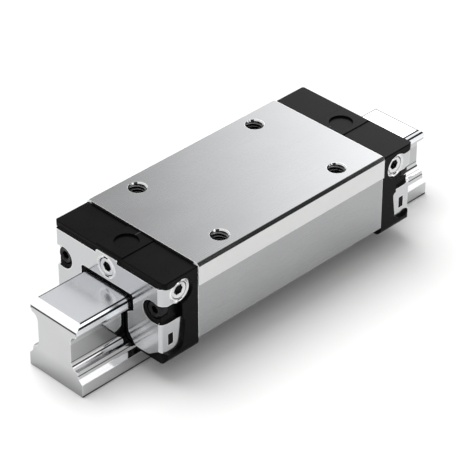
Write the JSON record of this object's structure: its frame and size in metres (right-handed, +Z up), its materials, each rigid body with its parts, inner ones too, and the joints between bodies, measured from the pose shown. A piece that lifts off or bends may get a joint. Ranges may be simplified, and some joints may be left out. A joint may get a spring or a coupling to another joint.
{
  "type": "ball runner block",
  "caption": "Steel runner block with black moulded end caps and polished end plates, riding on recirculating balls along a short profiled guide rail under a cover strip.",
  "frame": {"origin": "middle of the rail's foot, on the face that it stands on, with the runner block at the middle of the rail", "axes": "+X along the rail towards the rear end, +Y to the block's left side, +Z up from the rail's foot"},
  "size_m": [0.15, 0.048, 0.036],
  "materials": {
    "rail_steel": "ground",
    "strip_steel": "fine brushed",
    "block_steel": "ground",
    "raceway_steel": "ground",
    "ball_steel": "polished",
    "plate_steel": "polished",
    "screw_steel": "bright",
    "screw_black": "blackened",
    "cap_plastic": "moulded, satin",
    "retainer_plastic": "moulded",
    "seal_rubber": "smooth",
    "foam": "open cell, oiled"
  },
  "bodies": {
    "rail": {"rail": "rail_steel", "cover_strip": "strip_steel"},
    "carriage": {"balls_lower_left": "ball_steel", "balls_lower_right": "ball_steel", "balls_upper_left": "ball_steel", "balls_upper_right": "ball_steel", "block_body": "block_steel", "cap_screws_front": "screw_black", "cap_screws_rear": "screw_black", "end_cap_front": "cap_plastic", "end_cap_rear": "cap_plastic", "end_plate_front": "plate_steel", "end_plate_rear": "plate_steel", "end_seal_front": "seal_rubber", "end_seal_rear": "seal_rubber", "lower_retainer_left": "retainer_plastic", "lower_retainer_right": "retainer_plastic", "lube_reservoir_front": "foam", "lube_reservoir_rear": "foam", "middle_retainer_left": "retainer_plastic", "middle_retainer_right": "retainer_plastic", "port_screws_front": "screw_steel", "port_screws_rear": "screw_steel", "raceway_insert_left": "raceway_steel", "raceway_insert_right": "raceway_steel", "side_seal_left": "seal_rubber", "side_seal_right": "seal_rubber", "turn_guides_front": "retainer_plastic", "turn_guides_rear": "retainer_plastic", "upper_retainer": "retainer_plastic"}
  },
  "joints": [
    {"name": "carriage_slide", "type": "slide", "parent": "rail", "child": "carriage", "axis": [1, 0, 0], "range_m": [-0.021, 0.021]}
  ]
}
